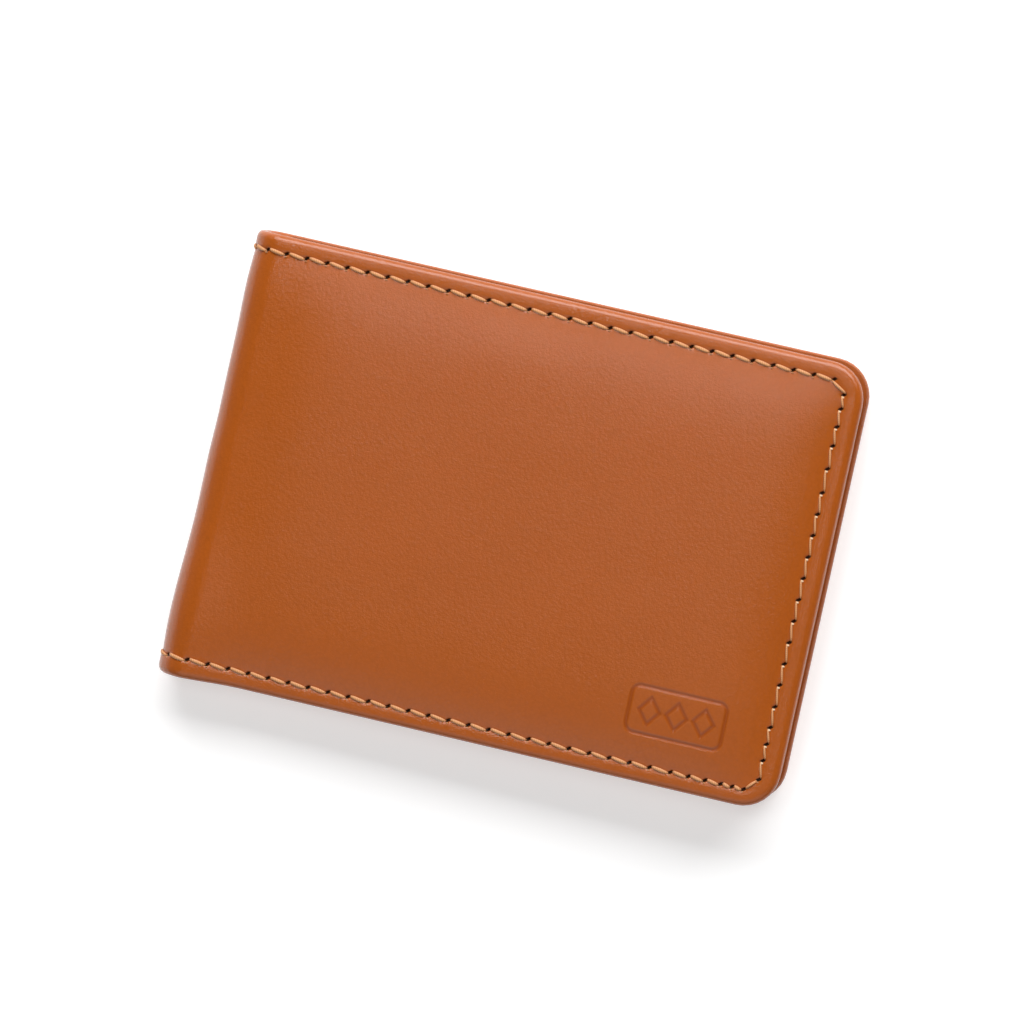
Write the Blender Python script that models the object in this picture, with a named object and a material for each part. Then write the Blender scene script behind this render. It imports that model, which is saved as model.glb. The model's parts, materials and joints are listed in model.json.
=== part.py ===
"""Bifold wallet, lying closed on its back cover.

Metres, +Z up.  The origin is the middle of the bounding box's base.  The fold runs along Y at the -X side,
and the free edge is at +X.  The back half lies flat and the front half is sprung open by SPRING_DEG.
The fold's leather is a U of radius FOLD_R, bent at three hinge lines that turn together, so opening the
wallet lays the U out flat.

Each half is drawn in the back half's place: x runs from the fold's centre line to the free edge, and depth
is the distance in from the cover's outer face.  The front half is then mirrored and turned into its place.
"""

import math

import bmesh
import bpy
from mathutils import Matrix, Vector

MM = 0.001

# Driving dimensions
HEIGHT = 81.6 * MM          # along the fold
WIDTH = 114.0 * MM          # from the fold to the free edge
FOLD_R = 5.0 * MM           # outer radius of the fold, half of the closed thickness there
CROWN = 1.2 * MM            # how far the padding lifts the cover's middle
SPRING_DEG = 2.0            # angle between the closed halves
HINGES = 3                  # hinge lines across the fold
CORNER_R = 6.8 * MM         # free corners
LEAST_CORNER_R = 1.5 * MM   # inner outlines keep at least this

# Layers of a half, as depths from the cover's outer face
LEATHER = (0.0, 1.0 * MM)
FOAM = (-0.5 * MM, 1.0 * MM)
BOARD = (1.1 * MM, 1.45 * MM)
LINING = (1.55 * MM, 1.8 * MM)
FLANGE = (1.9 * MM, 2.3 * MM)
GUTTER = (2.4 * MM, 2.7 * MM)
PANEL = (2.8 * MM, 3.1 * MM)
POCKET_LEATHER = 0.38 * MM
POCKET_PITCH = 0.47 * MM
POCKET_TOPS = (26.0 * MM, 15.0 * MM, 4.0 * MM)   # heights of the card pockets' mouths, from the middle

# Insets from the free edges
RIM_WIDTH = 1.3 * MM
FLANGE_WIDTH = 8.0 * MM
BOARD_INSET = 1.5 * MM
CROWN_INSET = 5.0 * MM
PANEL_INSET = 0.4 * MM
POCKET_INSET = 0.7 * MM
STITCH_INSET = 3.1 * MM
STITCH_INSET_FREE = 3.6 * MM
PANEL_TOP_DROP = 1.5 * MM
POCKET_START = 5.0 * MM     # gutter side of the card pockets, from the fold's centre line
THREAD_R = 0.3 * MM
POCKET_THREAD_R = 0.14 * MM
THREAD_GAP = 0.05 * MM

GAP = 0.1 * MM              # between the layers of one body
HINGE_R = FOLD_R - 0.5 * MM  # the hinge lines run in the middle of the fold's leather
STRIP_GAP = 0.42 * MM       # half of the gap between two strips of the fold

CENTRE_X = -WIDTH / 2 + FOLD_R
CENTRE_Z = CROWN + FOLD_R
LENGTH = WIDTH - FOLD_R     # flat length of a half
TOP = HEIGHT / 2
ARC = math.radians(180.0 - SPRING_DEG)
STEP = ARC / HINGES

TAN = (0.40, 0.105, 0.022)
LINING_BROWN = (0.12, 0.055, 0.028)

parts = None
cutters = None


def clear_scene():
    for old in list(bpy.data.objects):
        bpy.data.objects.remove(old, do_unlink=True)


def new_collection(name):
    collection = bpy.data.collections.new(name)
    bpy.context.scene.collection.children.link(collection)
    return collection


def material(name, color, roughness):
    found = bpy.data.materials.get(name)
    if found:
        return found
    made = bpy.data.materials.new(name)
    made.use_nodes = True
    shader = made.node_tree.nodes["Principled BSDF"]
    shader.inputs["Base Color"].default_value = (*color, 1.0)
    shader.inputs["Roughness"].default_value = roughness
    shader.inputs["Metallic"].default_value = 0.0
    return made


MATERIALS = {
    "leather": (TAN, 0.45),
    "pocket_leather": ((0.36, 0.10, 0.03), 0.5),
    "lining": (LINING_BROWN, 0.85),
    "board": ((0.45, 0.36, 0.25), 0.9),
    "foam": ((0.75, 0.72, 0.66), 0.95),
    "thread": ((0.62, 0.30, 0.10), 0.6),
}


# ---------------------------------------------------------------- outlines

def arc_points(centre, radius, start, end, steps):
    """Points on an arc, ends included.  Angles are in radians."""
    return [
        (
            centre[0] + radius * math.cos(start + (end - start) * i / steps),
            centre[1] + radius * math.sin(start + (end - start) * i / steps),
        )
        for i in range(steps + 1)
    ]


def half_outline(inset, start, top_drop=0.0, top=None, corner_steps=8):
    """A half's outline in X and Y: square at the fold, round at the free corners where it reaches them."""
    right = LENGTH - inset
    low = -TOP + inset
    high = TOP - inset - top_drop if top is None else top
    radius = max(CORNER_R - inset, LEAST_CORNER_R)
    points = [(start, low)]
    points += arc_points((right - radius, low + radius), radius, -math.pi / 2, 0.0, corner_steps)
    if top is None:
        points += arc_points((right - radius, high - radius), radius, 0.0, math.pi / 2, corner_steps)
    else:
        points.append((right, high))
    points.append((start, high))
    return points


def band_outline(outer_inset, inner_inset, start):
    """A U-shaped band along the three free edges."""
    outer = half_outline(outer_inset, start)
    inner = half_outline(inner_inset, start)
    return outer + inner[::-1]


# ---------------------------------------------------------------- solids

def flat_curve(name, outline, thickness, rounding=0.0):
    """A flat outline as a filled 2D curve, thickness in Z in all and centred on Z = 0."""
    curve = bpy.data.curves.new(name, "CURVE")
    curve.dimensions = "2D"
    curve.fill_mode = "BOTH"
    curve.extrude = thickness / 2 - rounding
    curve.bevel_depth = rounding
    curve.bevel_resolution = 1
    curve.offset = -rounding
    spline = curve.splines.new("POLY")
    spline.points.add(len(outline) - 1)
    for point, (x, y) in zip(spline.points, outline):
        point.co = (x, y, 0.0, 1.0)
    spline.use_cyclic_u = True
    return bpy.data.objects.new(name, curve)


def as_mesh(curve_object, collection):
    """The curve's evaluated mesh as an object of the same name, with its caps welded."""
    name = curve_object.name
    curve_object.name = name + "_curve"
    collection.objects.link(curve_object)
    bpy.context.view_layer.update()
    graph = bpy.context.evaluated_depsgraph_get()
    mesh = bpy.data.meshes.new_from_object(curve_object.evaluated_get(graph))
    mesh.transform(curve_object.matrix_world)
    bpy.data.objects.remove(curve_object, do_unlink=True)
    weld(mesh)
    made = bpy.data.objects.new(name, mesh)
    collection.objects.link(made)
    return made


def weld(mesh):
    """One vertex where there were several, and the normals facing out."""
    cage = bmesh.new()
    cage.from_mesh(mesh)
    bmesh.ops.remove_doubles(cage, verts=cage.verts, dist=1e-6)
    bmesh.ops.recalc_face_normals(cage, faces=cage.faces)
    cage.to_mesh(mesh)
    cage.free()


def plate(name, outline, depths, rounding=0.0, collection=None):
    """A layer of the half: an outline in X and Y between two depths, in the back half's place."""
    thickness = depths[1] - depths[0]
    made = flat_curve(name, outline, thickness, rounding)
    made.location.z = (depths[0] + depths[1]) / 2
    return as_mesh(made, collection or parts)


def profile(name, outline, low, high, collection=None):
    """An outline in X and depth, drawn out along Y."""
    made = flat_curve(name, outline, high - low)
    made.matrix_world = Matrix.Translation((0.0, (low + high) / 2, 0.0)) @ Matrix.Rotation(math.pi / 2, 4, "X")
    return as_mesh(made, collection or parts)


def fold_point(radius, angle):
    """A point of the fold in X and depth: angle 0 is where the fold leaves the back half."""
    return (-radius * math.sin(angle), FOLD_R - radius * math.cos(angle))


def fold_sector(depths, start, end, steps=5):
    """The outline, in X and depth, of a layer of the fold between two angles."""
    angles = [start + (end - start) * i / steps for i in range(steps + 1)]
    outer = [fold_point(FOLD_R - depths[0], angle) for angle in angles]
    inner = [fold_point(FOLD_R - depths[1], angle) for angle in angles]
    return outer + inner[::-1]


def lipped_outline(depths, end_x, steps=3):
    """A layer of the half in X and depth, with the lip that starts the fold."""
    last = STEP / 2 - STRIP_GAP / FOLD_R
    angles = [last * i / steps for i in range(steps + 1)]
    outer = [fold_point(FOLD_R - depths[0], angle) for angle in angles]
    inner = [fold_point(FOLD_R - depths[1], angle) for angle in angles]
    return [(end_x, depths[0])] + outer + inner[::-1] + [(end_x, depths[1])]


def boolean(target, other, operation):
    """Joins other to target, or cuts it away, and applies the result."""
    modifier = target.modifiers.new(operation.title(), "BOOLEAN")
    modifier.operation = operation
    modifier.object = other
    bpy.context.view_layer.update()
    graph = bpy.context.evaluated_depsgraph_get()
    mesh = bpy.data.meshes.new_from_object(target.evaluated_get(graph))
    target.modifiers.clear()
    old = target.data
    target.data = mesh
    bpy.data.meshes.remove(old)
    bpy.data.objects.remove(other, do_unlink=True)


def thread(name, points, radius=THREAD_R, cyclic=False):
    """A run of thread as a thin tube, welded shut."""
    curve = bpy.data.curves.new(name, "CURVE")
    curve.dimensions = "3D"
    curve.bevel_depth = radius
    curve.bevel_resolution = 1
    curve.use_fill_caps = True
    spline = curve.splines.new("POLY")
    spline.points.add(len(points) - 1)
    for point, place in zip(spline.points, points):
        point.co = (*place, 1.0)
    spline.use_cyclic_u = cyclic
    return as_mesh(bpy.data.objects.new(name, curve), parts)


# ---------------------------------------------------------------- the pieces of a half

def cover_leather(name):
    """The hide over one cover: plate with the fold's lip, turned rim, inner flange and hollow crown."""
    inner_end = LENGTH - 0.5 * MM
    hide = profile(name, lipped_outline(LEATHER, inner_end), -TOP + 0.3 * MM, TOP - 0.3 * MM)
    corners = plate("corner_trim", half_outline(0.25 * MM, -FOLD_R), (-1.0 * MM, 3.0 * MM), collection=cutters)
    boolean(hide, corners, "INTERSECT")
    rim = plate("rim", band_outline(0.0, RIM_WIDTH, 0.2 * MM), (-0.1 * MM, 2.35 * MM), 0.5 * MM, cutters)
    boolean(hide, rim, "UNION")
    flange = plate("flange", band_outline(0.4 * MM, FLANGE_WIDTH, 0.4 * MM), FLANGE, collection=cutters)
    boolean(hide, flange, "UNION")
    crown = plate("crown", half_outline(CROWN_INSET, 2.0 * MM), (-CROWN, 0.6 * MM), 0.7 * MM, cutters)
    boolean(hide, crown, "UNION")
    hollow = plate("hollow", half_outline(CROWN_INSET + 1.0 * MM, 3.0 * MM), (FOAM[0] - GAP, 1.3 * MM), 0.0, cutters)
    boolean(hide, hollow, "DIFFERENCE")
    return hide


def foam_pad(name):
    return plate(name, half_outline(CROWN_INSET + 1.3 * MM, 3.3 * MM), FOAM, 0.3 * MM)


def stiffener(name):
    return plate(name, half_outline(BOARD_INSET, 1.0 * MM), BOARD)


def bill_lining(name):
    """The cloth on the cover's inside, with the lip that goes into the fold."""
    low, high = -TOP + BOARD_INSET, TOP - BOARD_INSET
    cloth = profile(name, lipped_outline(LINING, LENGTH - 1.0 * MM), low, high)
    corners = plate("corner_trim", half_outline(BOARD_INSET, -FOLD_R, corner_steps=6),
                    (-1.0 * MM, 3.5 * MM), collection=cutters)
    boolean(cloth, corners, "INTERSECT")
    return cloth


def gutter_tail(name):
    """The end of the gutter strip, sewn under the inner panel."""
    low, high = -TOP + POCKET_INSET, TOP - PANEL_TOP_DROP
    return profile(name, lipped_outline(GUTTER, 12.0 * MM), low, high)


def inner_panel(name):
    return plate(name, half_outline(PANEL_INSET, 0.8 * MM, PANEL_TOP_DROP, corner_steps=6), PANEL)


def card_pocket(name, level):
    """One stepped pocket, level 0 being the one with the highest mouth, next to the inner panel."""
    near = PANEL[1] + GAP + level * POCKET_PITCH
    outline = half_outline(POCKET_INSET, POCKET_START, top=POCKET_TOPS[level], corner_steps=6)
    return plate(name, outline, (near, near + POCKET_LEATHER))


def edge_thread(name):
    """The perimeter row on the cover, from the fold round the free edge and back to the fold."""
    depth = -THREAD_R - THREAD_GAP
    low = -TOP + STITCH_INSET
    high = TOP - STITCH_INSET
    right = LENGTH - STITCH_INSET_FREE
    radius = CORNER_R - STITCH_INSET_FREE
    route = [(1.0 * MM, low)]
    route += arc_points((right - radius, low + radius), radius, -math.pi / 2, 0.0, 5)
    route += arc_points((right - radius, high - radius), radius, 0.0, math.pi / 2, 5)
    route.append((1.0 * MM, high))
    return thread(name, [(x, y, depth) for x, y in route])


def pocket_thread(name):
    """The row along the gutter side of the card pockets."""
    levels = len(POCKET_TOPS)
    top_leather = PANEL[1] + GAP + (levels - 1) * POCKET_PITCH + POCKET_LEATHER
    depth = top_leather + THREAD_GAP + POCKET_THREAD_R
    x = POCKET_START + 1.5 * MM
    ends = [(x, -TOP + 2.0 * MM, depth), (x, POCKET_TOPS[-1] - 1.0 * MM, depth)]
    return thread(name, ends, POCKET_THREAD_R)


# ---------------------------------------------------------------- placing

BACK_PLACE = Matrix.Translation((CENTRE_X, 0.0, CENTRE_Z - FOLD_R))
FOLD_CENTRE = Vector((CENTRE_X, 0.0, CENTRE_Z))
FRONT_PLACE = (
    Matrix.Translation(FOLD_CENTRE)
    @ Matrix.Rotation(-math.radians(SPRING_DEG), 4, "Y")
    @ Matrix.Scale(-1.0, 4, (0.0, 0.0, 1.0))
    @ Matrix.Translation(-FOLD_CENTRE)
    @ BACK_PLACE
)


def hinge_place(index):
    """Hinge line number index, from 0 at the back half."""
    x, depth = fold_point(HINGE_R, STEP * (index + 0.5))
    return Vector((CENTRE_X + x, 0.0, CENTRE_Z - FOLD_R + depth))


def settle(made, place, slot, pivot):
    """Moves a piece drawn in the half's own place into the wallet, and hangs it from its pivot's empty."""
    made.data.transform(place)
    weld(made.data)
    made.data.transform(Matrix.Translation(-pivot.matrix_world.translation))
    made.parent = pivot
    made.data.materials.clear()
    made.data.materials.append(material(slot, *MATERIALS[slot]))
    made.data.shade_smooth()
    made.data.set_sharp_from_angle(angle=math.radians(30.0))


def empty(name, place, parent=None):
    made = bpy.data.objects.new(name, None)
    made.empty_display_size = 0.01
    parts.objects.link(made)
    made.location = place
    if parent:
        made.parent = parent
        made.location = place - parent.matrix_world.translation
    bpy.context.view_layer.update()
    return made


def make_half(side, place, pivot):
    pieces = [
        (cover_leather(f"{side}_cover_leather"), "leather"),
        (foam_pad(f"{side}_cover_padding"), "foam"),
        (stiffener(f"{side}_cover_stiffener"), "board"),
        (bill_lining(f"{side}_bill_lining"), "lining"),
        (gutter_tail(f"{side}_gutter_strip"), "pocket_leather"),
        (inner_panel(f"{side}_inner_panel"), "pocket_leather"),
        (edge_thread(f"{side}_edge_thread"), "thread"),
        (pocket_thread(f"{side}_pocket_thread"), "thread"),
    ]
    for level, where in enumerate(("upper", "middle", "lower")):
        pieces.append((card_pocket(f"{side}_card_pocket_{where}", level), "pocket_leather"))
    for made, slot in pieces:
        settle(made, place, slot, pivot)


def make_fold_strip(side, index, pivot):
    """The rigid strip of the fold between two hinge lines: leather, lining and gutter strip."""
    start = STEP * (index + 0.5)
    layers = (
        ("leather", LEATHER, 0.4 * MM, "leather"),
        ("lining", LINING, BOARD_INSET, "lining"),
        ("gutter", GUTTER, POCKET_INSET, "pocket_leather"),
    )
    for what, depths, inset, slot in layers:
        margin = STRIP_GAP / FOLD_R
        outline = fold_sector(depths, start + margin, start + STEP - margin)
        drop = PANEL_TOP_DROP - inset if what == "gutter" else 0.0
        made = profile(f"fold_{what}_{side}", outline, -TOP + inset, TOP - inset - drop)
        settle(made, BACK_PLACE, slot, pivot)


def main():
    global parts, cutters
    clear_scene()
    parts = new_collection("bifold_wallet")
    cutters = new_collection("cutters")
    cutters.hide_render = True

    root = empty("back_half", Vector((0.0, 0.0, 0.0)))
    lower = empty("fold_lower", hinge_place(0), root)
    upper = empty("fold_upper", hinge_place(1), lower)
    front = empty("front_half", hinge_place(2), upper)

    make_half("back", BACK_PLACE, root)
    make_half("front", FRONT_PLACE, front)
    make_fold_strip("back", 0, lower)
    make_fold_strip("front", 1, upper)


main()
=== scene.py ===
"""Looks of the bifold wallet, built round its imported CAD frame.

The hide is one sheet.  Every piece is drawn on that sheet laid out flat, in millimetres: x runs across the
fold, with 0 where the fold meets the front half and -ARC_LENGTH where it meets the back half, y runs along
the fold, and depth is the distance in from the hide's outer face.  place() wraps the sheet into the closed
wallet.  Within a half, s is the distance from the fold towards the free edge.
"""

import json
import math

import bmesh
import bpy
import numpy as np
from mathutils import Matrix, Vector

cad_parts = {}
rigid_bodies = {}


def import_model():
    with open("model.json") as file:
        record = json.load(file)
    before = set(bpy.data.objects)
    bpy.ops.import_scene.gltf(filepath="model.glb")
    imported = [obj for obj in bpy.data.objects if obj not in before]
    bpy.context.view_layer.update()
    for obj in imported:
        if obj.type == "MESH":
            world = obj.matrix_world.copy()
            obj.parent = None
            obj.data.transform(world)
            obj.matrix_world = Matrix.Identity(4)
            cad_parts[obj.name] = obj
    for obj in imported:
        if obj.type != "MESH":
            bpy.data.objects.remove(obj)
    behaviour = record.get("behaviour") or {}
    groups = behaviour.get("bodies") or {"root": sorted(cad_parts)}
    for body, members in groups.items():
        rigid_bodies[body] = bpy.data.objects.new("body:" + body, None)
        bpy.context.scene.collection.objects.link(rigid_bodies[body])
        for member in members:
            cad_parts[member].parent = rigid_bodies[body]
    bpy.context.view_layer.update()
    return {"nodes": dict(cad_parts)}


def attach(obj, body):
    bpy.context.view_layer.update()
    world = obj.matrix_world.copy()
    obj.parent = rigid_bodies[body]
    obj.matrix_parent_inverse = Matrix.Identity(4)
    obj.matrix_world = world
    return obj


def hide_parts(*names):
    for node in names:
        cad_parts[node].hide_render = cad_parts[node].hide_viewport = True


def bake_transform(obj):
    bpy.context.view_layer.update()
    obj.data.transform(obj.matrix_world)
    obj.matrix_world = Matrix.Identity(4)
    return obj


MM = 0.001              # one millimetre in the scene's metres

# ---------------------------------------------------------------- sizes in millimetres, as in the CAD

WIDTH, HEIGHT = 114.0, 81.6
FOLD_R = 5.0
CROWN = 1.2
SPRING = math.radians(2.0)
CORNER_R = 6.8
LENGTH = WIDTH - FOLD_R
TOP = HEIGHT / 2
CENTRE_X = -WIDTH / 2 + FOLD_R
CENTRE_Z = CROWN + FOLD_R
ARC = math.pi - SPRING
STEP = ARC / 3
STRIP = STEP * FOLD_R
ARC_LENGTH = 3 * STRIP
LINING = (1.55, 1.8)
GUTTER = (2.4, 2.7)
PANEL = (2.8, 3.1)
PANEL_TOP = TOP - 1.9
POCKET_THICK, POCKET_PITCH = 0.38, 0.47
POCKET_TOPS = (26.0, 15.0, 4.0)
POCKET_START = 5.0

# The hide's section along its free edges
HIDE_THICK = 1.0
RIM_DEPTH = 1.17        # half of the turned edge's thickness
RIM_ROUND = 1.25        # how far in the edge's round reaches
BEAD_START = 2.2        # the first ring of the bead, counted from the stitches
BEAD_END = 2.15         # where the bead starts to fall to the stitches
GROOVE = 0.22           # depth of the stitch line under the bead
FLANGE = 1.92           # depth of the turned-in flange's inner face
FLANGE_START = 1.5      # from here in the flange is a little thinner
FLANGE_THIN = 0.04
ROW_INSET, COLUMN_INSET = 3.1, 3.6
GRID_INSET = CORNER_R   # inside this the hide is one plain grid

# The hide's face
SWELL = 5.2             # how gently the padded middle rises
SOFTNESS = 0.25         # how softly bead and middle meet
FOLD_CROWN = 0.27       # height of the crown on the fold
FLARE = 0.95            # how far the fold's lower corner stands out
FLATTER = 0.22          # how much flatter the fold is above its middle

# Stitches
SLANT = math.radians(38.0)
SLIT = 0.46             # from a hole's middle to where its threads go in
PITCH = 3.75
CORNER_CUT = 2.33       # from the rows' crossing to the corner stitch's holes
ROW_END = (2.1, 2.1, 2.9, 3.1, 3.3, 3.9)          # pitches from the lower corner towards the fold
COLUMN_LOW = (3.5, 3.0, 3.1, 3.8, 4.0, 3.9)       # pitches from the lower corner up
COLUMN_HIGH = (2.6, 3.3, 3.5, 4.2, 4.4)           # pitches from the upper corner down
COLUMN_PITCH = 4.0      # about the pitch between them
HOLE_REACH, HOLE_ROUND = 0.30, 0.25               # half of a slit's straight length, and half of its width
HOLE_DEPTH, DIMPLE = 0.55, 0.06
FAR = 5.0               # the distance given where no hole or pressed line is near

# Emblem pressed into the front cover: a rounded frame round a row of three lozenges
EMBLEM_AT = (88.6, -27.7)
EMBLEM_SIZE = (17.5, 8.6)
EMBLEM_CORNER = 1.6
LOZENGES = (-5.0, 0.0, 5.0)
LOZENGE_REACH = (1.9, 2.4)
LOZENGE_SCALE = 1.49    # turns the lozenge's own measure into millimetres
LINE_HALF = 0.27
STAMP = 0.15            # depth of the pressed lines

# Inside
MOUTH_FOOT = 27.0       # above here the inner wall stands off
MOUTH_DEPTH = 2.38      # just inside the flange
EDGE_ROW = 0.02         # width of the thin row where two pieces of the fold meet
PAD_START, PAD_INSET = 4.0, 6.6
INNER_GAP = 0.3         # from a hole to the end of its stitch, as the inside shows it
INNER_PITCH = 3.2       # of the row at the pockets' gutter side


def smooth(t):
    t = np.clip(t, 0.0, 1.0)
    return t * t * (3 - 2 * t)


# ---------------------------------------------------------------- the sheet and its place

def place(x, y, depth):
    """Points of the flat sheet in the closed wallet, in metres."""
    x, y, depth = np.broadcast_arrays(*(np.asarray(v, float) for v in (x, y, depth)))
    radius = FOLD_R - depth
    angle = ARC + x / FOLD_R
    across = -radius * np.sin(angle)
    up = -radius * np.cos(angle)
    front = x >= 0
    across = np.where(front, x * math.cos(SPRING) - radius * math.sin(SPRING), across)
    up = np.where(front, x * math.sin(SPRING) + radius * math.cos(SPRING), up)
    back = x <= -ARC_LENGTH
    across = np.where(back, -ARC_LENGTH - x, across)
    up = np.where(back, -radius, up)
    return np.stack([CENTRE_X + across, y, CENTRE_Z + up], -1) * MM


def sheet_x(side, s):
    """x of the sheet at a distance from the fold, on one half."""
    return s if side == "front" else -ARC_LENGTH - s


def from_fold(x):
    """Distance from the fold towards the free edge; below 0 on the fold."""
    return np.maximum(x, -ARC_LENGTH - x)


def ripple(x, y):
    """A hide is never quite flat."""
    return (
        0.010 * np.sin(0.21 * x + 0.13 * y + 1.0)
        + 0.008 * np.sin(0.37 * y - 0.11 * x + 2.3)
        + 0.005 * np.sin(0.71 * x + 0.5 * y)
    )


def flare(x, y):
    """How far the fold stands out: the turned edge resists the bend, most at the lower corner."""
    at_fold = 1 - smooth((from_fold(x) + 3.0) / 13.0)
    corner = FLARE * smooth((-9.0 - y) / 25.0)
    flat = FLATTER * smooth((y + 2.0) / 10.0) * smooth((32.0 - y) / 10.0)
    return at_fold * (corner - flat)


def edge_round(inset):
    """Half of the turned edge's thickness at this inset: 0 at its tip, RIM_DEPTH from RIM_ROUND on."""
    return RIM_DEPTH * np.sqrt(1 - (1 - np.minimum(inset / RIM_ROUND, 1.0)) ** 2)


def hide_height(x, y, inset):
    """Height of the outer face over the bead's level, without the stitch holes."""
    s = from_fold(x)
    off_fold = 1 - np.exp(-((np.maximum(s + 2.0, 0.0) / 9.5) ** 2))
    crown = FOLD_CROWN + (CROWN - 0.02 - FOLD_CROWN) * off_fold
    rise = 1.0
    for gap in (y + TOP - ROW_INSET, TOP - ROW_INSET - y, LENGTH - s - COLUMN_INSET):
        rise = rise * (1 - np.exp(-gap / SWELL))
    swell = -GROOVE + (GROOVE + crown) * rise
    bead = np.where(inset < BEAD_END, 0.0, -GROOVE * ((inset - BEAD_END) / (ROW_INSET - BEAD_END)) ** 2)
    top = 0.5 * (bead + swell + np.sqrt((bead - swell) ** 2 + SOFTNESS**2))
    height = top - (RIM_DEPTH - edge_round(inset)) + ripple(x, y) * smooth(inset / 2.0)
    return np.minimum(height + flare(x, y), CROWN - 0.005)


def inner_depth(height):
    """Depth of the hide's inner face under an outer face of this height."""
    return np.minimum(HIDE_THICK - height, HIDE_THICK)


# ---------------------------------------------------------------- stitch holes

def walk(start, steps, way):
    """Places reached from start by these steps, upwards if way is 1 and downwards if it is -1."""
    return list(np.cumsum([start, *(way * step for step in steps)]))


def stitch_route():
    """Holes round the whole hide, (x, y), in the order they are sewn: in from the fold's middle along the front's
    lower row, up its free edge and back along its upper row, then the same on the back half, the other way round."""
    middle = ARC_LENGTH / 2
    corner, right = LENGTH - COLUMN_INSET - CORNER_CUT, LENGTH - COLUMN_INSET
    low, high = -TOP + ROW_INSET, TOP - ROW_INSET
    lower = walk(corner, ROW_END, -1)
    span = lower[-1] + middle
    count = round(span / PITCH)
    lower += [lower[-1] - span * i / count for i in range(1, count + 1)]
    span = corner + middle
    count = round(span / PITCH - 0.5) + 0.5
    upper = [corner - span * i / count for i in range(int(count) + 1)]
    rising = walk(low + CORNER_CUT, COLUMN_LOW, 1)
    falling = walk(high - CORNER_CUT, COLUMN_HIGH, -1)
    count = round((falling[-1] - rising[-1]) / COLUMN_PITCH)
    between = np.linspace(rising[-1], falling[-1], count + 1)[1:-1]
    column = [*rising, *between, *falling[::-1]]
    half = [(x, low) for x in lower[::-1]] + [(right, y) for y in column] + [(x, high) for x in upper]
    mirrored = [(-ARC_LENGTH - x, y) for x, y in half[::-1]]
    return np.array(half), np.array(mirrored)


FRONT_ROUTE, BACK_ROUTE = stitch_route()
SEWN = np.concatenate([FRONT_ROUTE, BACK_ROUTE[:-1], FRONT_ROUTE[:1]])
SLIT_WAY = np.array([math.cos(SLANT), math.sin(SLANT)])


def hole_distance(x, y):
    """Distance to the nearest slit's edge, below 0 inside it."""
    best = np.full(x.shape, FAR)
    for hole_x, hole_y in SEWN[:-1]:
        dx, dy = x - hole_x, y - hole_y
        along = np.clip(dx * SLIT_WAY[0] + dy * SLIT_WAY[1], -HOLE_REACH, HOLE_REACH)
        best = np.minimum(best, np.hypot(dx - along * SLIT_WAY[0], dy - along * SLIT_WAY[1]) - HOLE_ROUND)
    return best


def emblem_distance(x, y):
    """Distance to the emblem's nearest pressed line, below 0 inside it."""
    px, py = x - EMBLEM_AT[0], y - EMBLEM_AT[1]
    qx, qy = (np.abs(p) - size / 2 + EMBLEM_CORNER for p, size in zip((px, py), EMBLEM_SIZE))
    box = np.hypot(np.maximum(qx, 0), np.maximum(qy, 0)) + np.minimum(np.maximum(qx, qy), 0) - EMBLEM_CORNER
    best = np.abs(box) - LINE_HALF
    for middle in LOZENGES:
        measure = np.abs(px - middle) / LOZENGE_REACH[0] + np.abs(py) / LOZENGE_REACH[1] - 1
        best = np.minimum(best, np.abs(measure * LOZENGE_SCALE) - LINE_HALF)
    return best


# ---------------------------------------------------------------- meshes

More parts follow.
